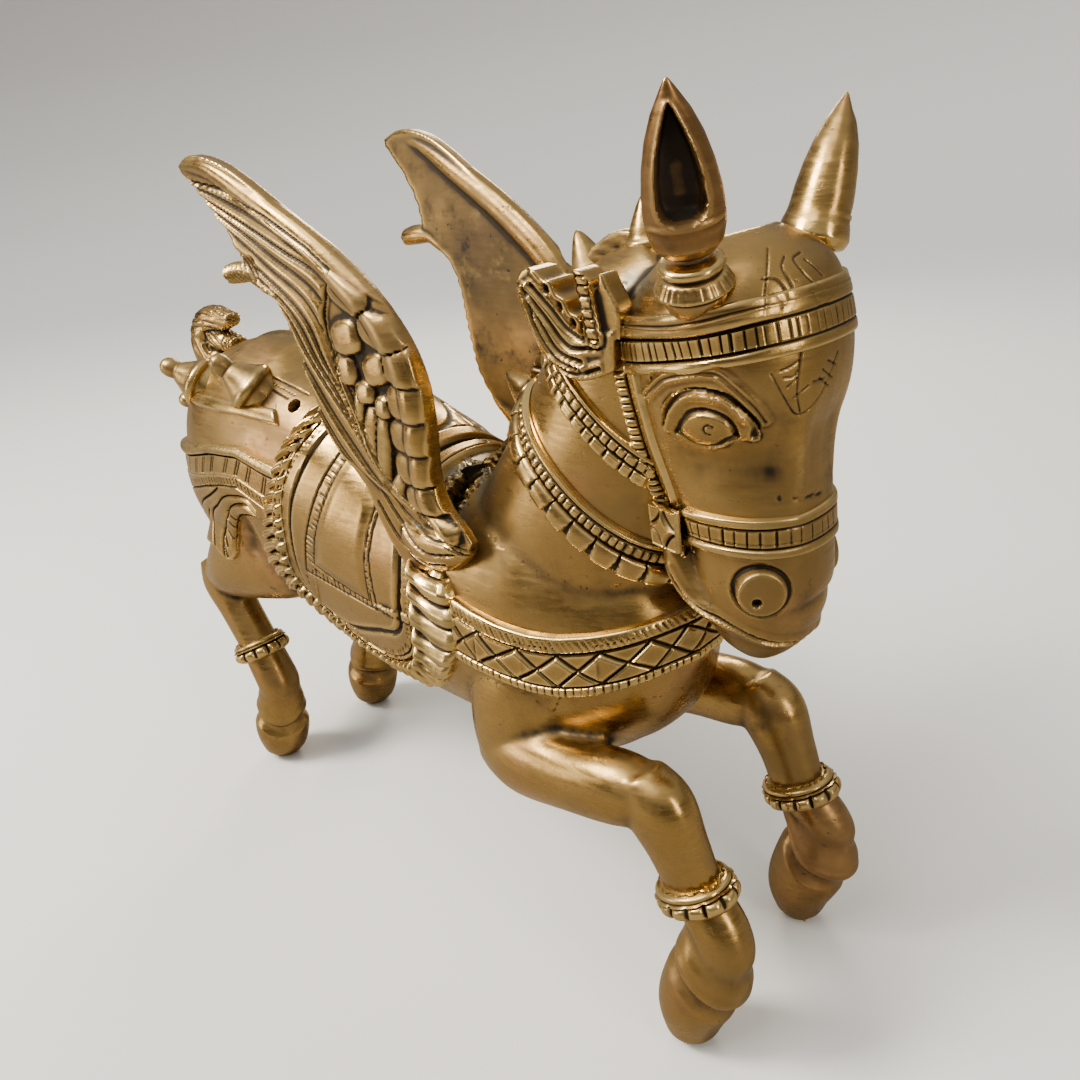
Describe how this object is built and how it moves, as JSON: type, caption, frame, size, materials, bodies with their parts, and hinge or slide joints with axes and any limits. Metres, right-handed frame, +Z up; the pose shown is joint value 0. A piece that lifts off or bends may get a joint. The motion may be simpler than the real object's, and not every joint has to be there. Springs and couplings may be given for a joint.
{
  "type": "winged horse figurine",
  "caption": "Cast and chased brass winged horse in harness and saddle cloth, leaping on four flat hoof tips, with one wing on each shoulder.",
  "frame": {"origin": "on the resting surface, under the middle of the figure's bounding box", "axes": "+X the way the horse faces, +Y its left side, +Z up"},
  "size_m": [0.538, 0.1568, 0.4826],
  "materials": {
    "aged_brass": "aged, hand polished on the high places, brown in the chased lines",
    "bright_brass": "chased and rubbed bright",
    "dark_brass": "unpolished, darkened"
  },
  "bodies": {
    "root": {"trunk": "aged_brass", "neck": "aged_brass", "head": "aged_brass", "right_fore_leg": "aged_brass", "left_fore_leg": "aged_brass", "right_hind_leg": "aged_brass", "left_hind_leg": "aged_brass", "right_fore_anklet": "bright_brass", "left_fore_anklet": "bright_brass", "right_hind_anklet": "bright_brass", "left_hind_anklet": "bright_brass", "saddle_cloth": "aged_brass", "right_saddle_fringe": "bright_brass", "left_saddle_fringe": "bright_brass", "breast_band": "bright_brass", "lower_neck_collar": "bright_brass", "upper_neck_collar": "bright_brass", "brow_band": "bright_brass", "nose_band": "bright_brass", "right_cheek_strap": "bright_brass", "left_cheek_strap": "bright_brass", "right_strap_boss": "bright_brass", "left_strap_boss": "bright_brass", "right_ear_ring": "bright_brass", "left_ear_ring": "bright_brass", "right_ear": "aged_brass", "left_ear": "aged_brass", "right_plume": "bright_brass", "left_plume": "bright_brass", "mane_ridge": "dark_brass", "crest_cone": "bright_brass", "upper_crest_cone": "bright_brass", "poll_cone": "bright_brass", "upper_crupper_band": "bright_brass", "lower_crupper_band": "bright_brass", "right_crupper_skirt": "aged_brass", "left_crupper_skirt": "aged_brass", "right_front_rump_bud": "bright_brass", "left_front_rump_bud": "bright_brass", "right_middle_rump_bud": "bright_brass", "left_middle_rump_bud": "bright_brass", "right_rear_rump_bud": "bright_brass", "left_rear_rump_bud": "bright_brass", "tail": "bright_brass", "right_wing": "aged_brass", "left_wing": "aged_brass"}
  },
  "joints": []
}
